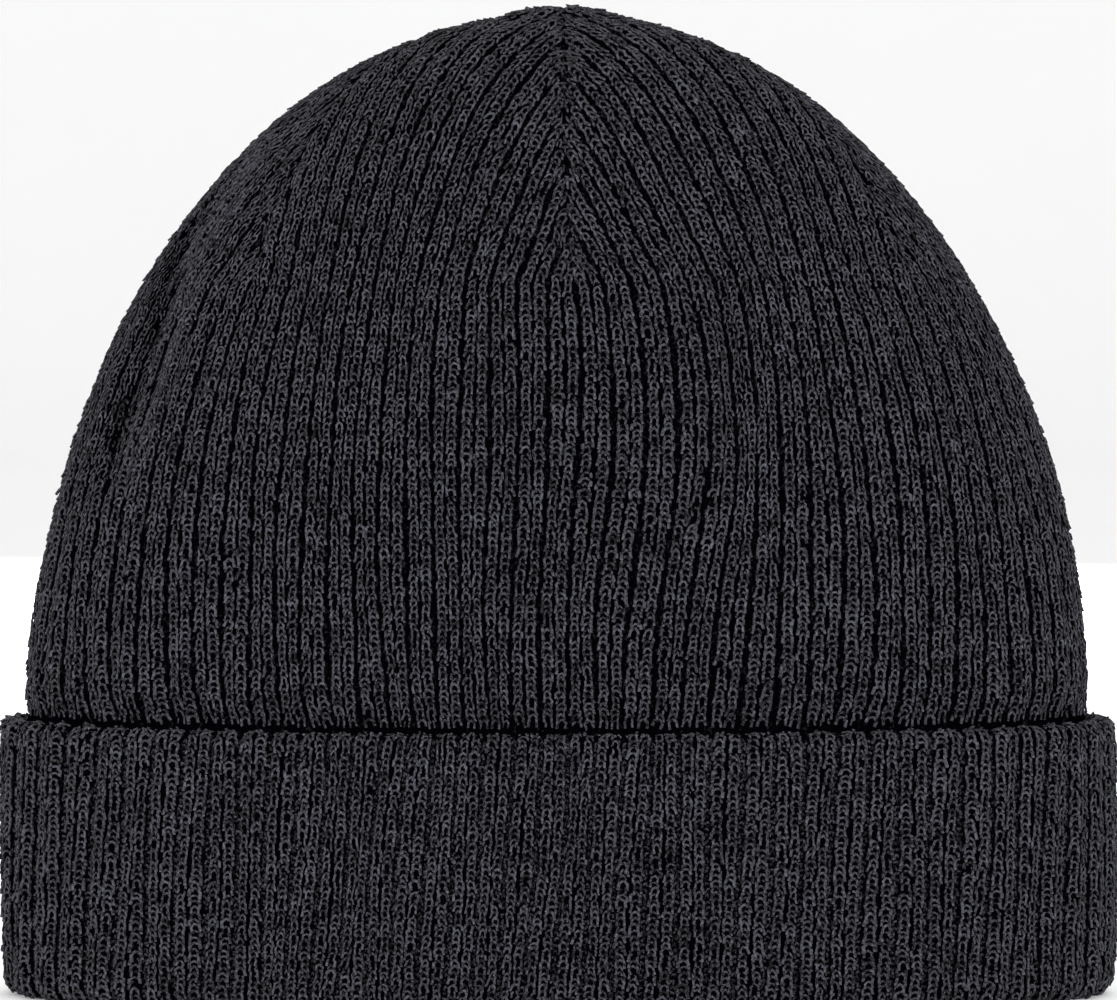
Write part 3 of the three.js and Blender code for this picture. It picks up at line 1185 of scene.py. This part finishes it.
def crown_guide(gore, ribs, seam_reach, sizes):
    """A point for each loop of one gore that its darts leave, with what the tree reads. The
    loops lie within a number of ribs of the nearest dart, or on the left side's ridge"""
    climbs = even_climbs(gore, sizes.course)
    climb, rib = np.meshgrid(climbs, ribs, indexing="ij")
    step = np.gradient(climbs)[:, None] * np.ones_like(rib)
    across = (rib_place(gore, rib, climb) * GORES - gore) * ribs_left(climb) * RIBS_PER_GORE
    from_seam = np.minimum(across, RIBS_PER_GORE * ribs_left(climb) - across)
    by_darts_only = np.max(seam_reach) < RIBS_PER_GORE
    dart_begun = climb > (DART_CLIMB - 4 * MM if by_darts_only else 0)
    faces_front = np.abs(np.cos(PLAN.angle(spread(rib_place(gore, rib, climb), 0)))) ** 0.35
    # Below here the crown has no loops, and its fabric, painted near black, shows as a band of painted
    # shade above the cuff's edge, beside the real crevice of the grip
    loops_from = GRIP_HEIGHT + LOOPLESS * (2 * faces_front - 1)

    def point(rib, climb):
        return crown_place(rib_place(gore, rib, climb), climb, -0.1 * MM, sizes.wander)[0]

    wanted = ((from_seam < seam_reach) & dart_begun) | on_ridge(point(rib, climb))
    kept = (from_seam > SEAM_MARGIN) & wanted & (climb > loops_from)
    climb, rib, step = climb[kept], rib[kept], step[kept]

    reach = 0.3 * MM
    rise = point(rib, np.minimum(climb + reach, TOP_CLIMB)) - point(rib, climb - reach)
    sideways = point(rib + 0.05, climb) - point(rib - 0.05, climb)
    pitch = np.linalg.norm(np.cross(sideways, unit(rise)), axis=-1) / 0.1
    course = np.linalg.norm(rise, axis=-1) * step / (2 * reach)
    return guide_mesh(
        "crown_guide",
        point(rib, climb),
        outwards=unit(np.cross(sideways, rise)),
        up=unit(rise),
        rib=rib + gore * RIBS_PER_GORE,
        seam=seam_share(rib_place(gore, rib, climb), climb, sizes),
        size=loop_sizes(pitch, course, sizes),
    )


def loop_sizes(pitch, course, sizes):
    wide = np.clip(pitch / PLAIN_PITCH, 0.42, 1.5)
    long = np.clip(course / sizes.course, 0.6, 1.5)
    return np.stack((wide, long, np.sqrt(wide * long)), axis=-1)


def guide_mesh(name, points, **attributes):
    mesh = bpy.data.meshes.new(name)
    mesh.vertices.add(len(points))
    mesh.vertices.foreach_set("co", points.astype(np.float32).reshape(-1))
    for label, values in attributes.items():
        set_attribute(mesh, label, values)
    return mesh


def cuff_guide(ribs, sizes):
    """A point for each loop of a stretch of the cuff"""
    total = cuff_courses(sizes.course)
    courses = np.arange(1.5, total + 1.5)
    course, rib = np.meshgrid(courses, ribs, indexing="ij")

    def place(rib, course):
        out, height = cuff_section(course, sizes.course)
        share = cuff_share(rib, height, sizes.wander)
        return cuff_place(share, out - 0.1 * MM, height)[0]

    points = place(rib, course)
    rise = place(rib, course + 0.25) - place(rib, course - 0.25)
    across = place(rib + 0.05, course) - place(rib - 0.05, course)
    pitch = np.linalg.norm(across, axis=-1) / 0.1
    height = np.linalg.norm(rise, axis=-1) / 0.5
    size = loop_sizes(pitch, height, sizes)
    return guide_mesh(
        "cuff_guide",
        points.reshape(-1, 3),
        outwards=unit(np.cross(across, rise)).reshape(-1, 3),
        up=unit(rise).reshape(-1, 3),
        rib=rib.reshape(-1),
        seam=np.zeros(rib.size),
        size=size.reshape(-1, 3),
    )


CUFF_PURL_SINK = 0.8  # the cuff's purl bumps lie at this share of a furrow's depth
DART_FILL_SINK = 0.5  # and so do the loops that fill the furrows by the darts and on the ridge


def knit(guide, name, trough, seed, context, changes):
    """Turns a guide into loops of yarn and gives the piece its body"""
    sizes = context.scene.beanie_sizes
    values = {
        "Trough": trough,
        "Sharpness": sizes.sharpness,
        "Seam Depth": sizes.seam_depth,
        "Loop Width": sizes.loop_width,
        "Loop Length": sizes.loop_length,
        "Yarn": sizes.yarn,
        "Head Lift": -0.1 * MM,
        "Tilt": 0.8,
        "Loop Points": 5,
        "Unevenness": sizes.unevenness,
        "Sway": (0.2, 0.2, 0.34),
        "Shift": 0.18 * MM,
        "Brightness": 1.0,
        "Seed": seed,
        "Material": yarn_material(context.scene.beanie_colours),
    }
    values.update(changes)
    tree = tree_named("Stitches", stitch_tree, relief_tree())
    piece = run_tree(new_object(guide.name, guide), tree, values, name)
    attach(piece, "root")
    return piece


def purl(guide, name, trough, seed, context):
    """Knits the purl bumps that show in the furrows: short arcs, turned every way, painted darker as
    shade
    """
    sizes = context.scene.beanie_sizes
    return knit(
        guide,
        name,
        trough,
        seed,
        context,
        {
            "Loop Points": 3,
            "Loop Width": sizes.purl_width,
            "Loop Length": sizes.purl_height,
            "Head Lift": 0.15 * MM,
            "Tilt": 0.0,
            "Sway": (0.3, 0.3, 0.75),
            "Shift": 0.22 * MM,
            # Painted shade: the purl bumps' tone is held to the darker end, for the shade deep in the
            # furrows
            "Brightness": 0.4,
        },
    )


def weave(guide, name, node, trough, context):
    """Turns a plain wall into ribbed fabric that stands for a solid"""
    sizes = context.scene.beanie_sizes
    values = {
        "Trough": trough,
        "Sharpness": sizes.sharpness,
        "Seam Depth": sizes.seam_depth,
        "Material": fabric_material(context.scene.beanie_colours),
    }
    tree = tree_named("Ribbed fabric", fabric_tree, relief_tree())
    piece = run_tree(new_object(guide.name, guide), tree, values, name)
    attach(piece, "root")
    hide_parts(node)
    return piece


class BEANIE_OT_fabric(bpy.types.Operator):
    """Makes the ribbed fabric of the crown and the cuff"""

    bl_idname = "beanie.fabric"
    bl_label = "Fabric"

    def execute(self, context):
        sizes = context.scene.beanie_sizes
        weave(crown_fabric(sizes), "crown_fabric", "crown", sizes.crown_trough, context)
        weave(cuff_fabric(sizes), "cuff_fabric", "cuff", sizes.cuff_trough, context)
        return {"FINISHED"}


class BEANIE_OT_crown_loops(bpy.types.Operator):
    """Knits the loops of the crown, gore by gore"""

    bl_idname = "beanie.crown_loops"
    bl_label = "Crown loops"

    def execute(self, context):
        sizes = context.scene.beanie_sizes
        for gore, place in enumerate(GORE_NAMES):
            guide = crown_guide(gore, wales_of(0, RIBS_PER_GORE), RIBS_PER_GORE, sizes)
            knit(guide, f"crown_loops_{place}", sizes.crown_trough, 10 * gore, context, {})
            guide = crown_guide(gore, *fillers_of(0, RIBS_PER_GORE), sizes)
            trough = sizes.crown_trough * DART_FILL_SINK
            # Painted shade: the filling loops are held to a slightly darker tone, for the shade where
            # they sit sunk in the furrows and between the wales
            filling = {"Loop Width": 0.65 * sizes.loop_width, "Brightness": 0.8}
            knit(guide, f"dart_loops_{place}", trough, 200 + 10 * gore, context, filling)
        return {"FINISHED"}


class BEANIE_OT_cuff_loops(bpy.types.Operator):
    """Knits the loops of the cuff, in four quarters"""

    bl_idname = "beanie.cuff_loops"
    bl_label = "Cuff loops"

    def execute(self, context):
        sizes = context.scene.beanie_sizes
        quarter = RIBS // 4
        for k, place in enumerate(("front_right", "back_right", "back_left", "front_left")):
            ends = (k * quarter, (k + 1) * quarter)
            guide = cuff_guide(wales_of(*ends), sizes)
            knit(guide, f"cuff_loops_{place}", sizes.cuff_trough, 100 + 10 * k, context, {})
            guide = cuff_guide(furrows_of(*ends), sizes)
            trough = sizes.cuff_trough * CUFF_PURL_SINK
            purl(guide, f"cuff_purl_{place}", trough, 300 + 10 * k, context)
        return {"FINISHED"}


FRAME_PIXELS = (1117, 1000)  # of the picture
SENSOR = 36.0


def aim(thing, target):
    """Turns a light or a camera towards a point"""
    x, y, z = (target[k] - thing.location[k] for k in range(3))
    thing.rotation_euler = (math.atan2(math.hypot(x, y), -z), 0, math.atan2(-x, y))


def add_light(name, place, target, width, power):
    light = bpy.data.lights.new(name, "AREA")
    light.shape = "DISK"
    light.size = width
    light.energy = power
    thing = new_object(name, light)
    thing.location = place
    aim(thing, target)


class BEANIE_OT_stage(bpy.types.Operator):
    """Lays the floor and sets the lights, the surroundings and the camera"""

    bl_idname = "beanie.stage"
    bl_label = "Stage"

    def execute(self, context):
        scene = context.scene
        sizes = scene.beanie_sizes
        scene.view_settings.view_transform = "Standard"
        floor = self.floor(scene.beanie_colours)
        self.surroundings(scene)
        middle = (0, 0, frame_box[1][2] / 2)
        add_light("key_light", (0.85, -1.15, 0.28), middle, 0.9, 16)
        add_light("fill_light", (-1.1, -1.0, 0.28), middle, 0.9, 16.5)
        add_light("low_light", (0, -1.4, 0.06), middle, 0.5, 10)
        add_light("back_light", (0.2, 1.45, 0.4), middle, 0.9, 16)
        self.camera(scene, sizes, middle)
        return {"FINISHED"}

    def floor(self, colours):
        """A floor that curves up into a backdrop, far enough off to show no edge"""
        reach, bend, tall, steps = 6.0, 1.5, 5.0, 12
        line = [(-reach, 0.0)]
        for k in range(steps + 1):
            angle = k / steps * math.pi / 2
            line.append((2.5 + bend * math.sin(angle), bend * (1 - math.cos(angle))))
        line.append((2.5 + bend, tall))
        points = [(side * reach, y, z) for y, z in line for side in (-1, 1)]
        faces = [(2 * k, 2 * k + 1, 2 * k + 3, 2 * k + 2) for k in range(len(line) - 1)]
        mesh = mesh_from("floor", points, faces)
        mesh.polygons.foreach_set("use_smooth", [True] * len(mesh.polygons))
        mesh.materials.append(floor_material(colours))
        return new_object("floor", mesh)

    def surroundings(self, scene):
        world = bpy.data.worlds.new("soft_room")
        world.use_nodes = True
        background = world.node_tree.nodes["Background"]
        background.inputs["Color"].default_value = (1.0, 1.0, 1.0, 1.0)
        background.inputs["Strength"].default_value = 0.95
        scene.world = world

    def camera(self, scene, sizes, middle):
        """A long lens in front, a little above, that holds the hat edge to edge"""
        camera = bpy.data.cameras.new("camera")
        camera.sensor_width = SENSOR
        rise, distance = sizes.camera_rise, sizes.camera_distance
        hat_width = frame_box[1][0] - frame_box[0][0]
        camera.lens = SENSOR * distance / hat_width
        camera.clip_end = 50
        thing = new_object("camera", camera)
        thing.location = (
            0,
            -distance * math.cos(rise),
            middle[2] + distance * math.sin(rise),
        )
        aim(thing, middle)
        scene.camera = thing


class BEANIE_PT_panel(bpy.types.Panel):
    """Lists the steps that knit the hat"""

    bl_idname = "BEANIE_PT_panel"
    bl_label = "Beanie"
    bl_space_type = "VIEW_3D"
    bl_region_type = "UI"
    bl_category = "Beanie"

    def draw(self, context):
        for settings in (context.scene.beanie_sizes, context.scene.beanie_colours):
            for name in settings.__annotations__:
                self.layout.prop(settings, name)
        for operator in OPERATORS:
            self.layout.operator(operator.bl_idname)


OPERATORS = (BEANIE_OT_stage, BEANIE_OT_fabric, BEANIE_OT_crown_loops, BEANIE_OT_cuff_loops)
CLASSES = (BeanieSizes, BeanieColours, *OPERATORS, BEANIE_PT_panel)


def register():
    for item in CLASSES:
        bpy.utils.register_class(item)
    bpy.types.Scene.beanie_sizes = bpy.props.PointerProperty(type=BeanieSizes)
    bpy.types.Scene.beanie_colours = bpy.props.PointerProperty(type=BeanieColours)


def unregister():
    del bpy.types.Scene.beanie_colours
    del bpy.types.Scene.beanie_sizes
    for item in reversed(CLASSES):
        bpy.utils.unregister_class(item)


def main():
    register()
    bpy.ops.beanie.stage()
    bpy.ops.beanie.fabric()
    bpy.ops.beanie.crown_loops()
    bpy.ops.beanie.cuff_loops()
    bpy.context.view_layer.update()


if __name__ == "__main__":
    main()
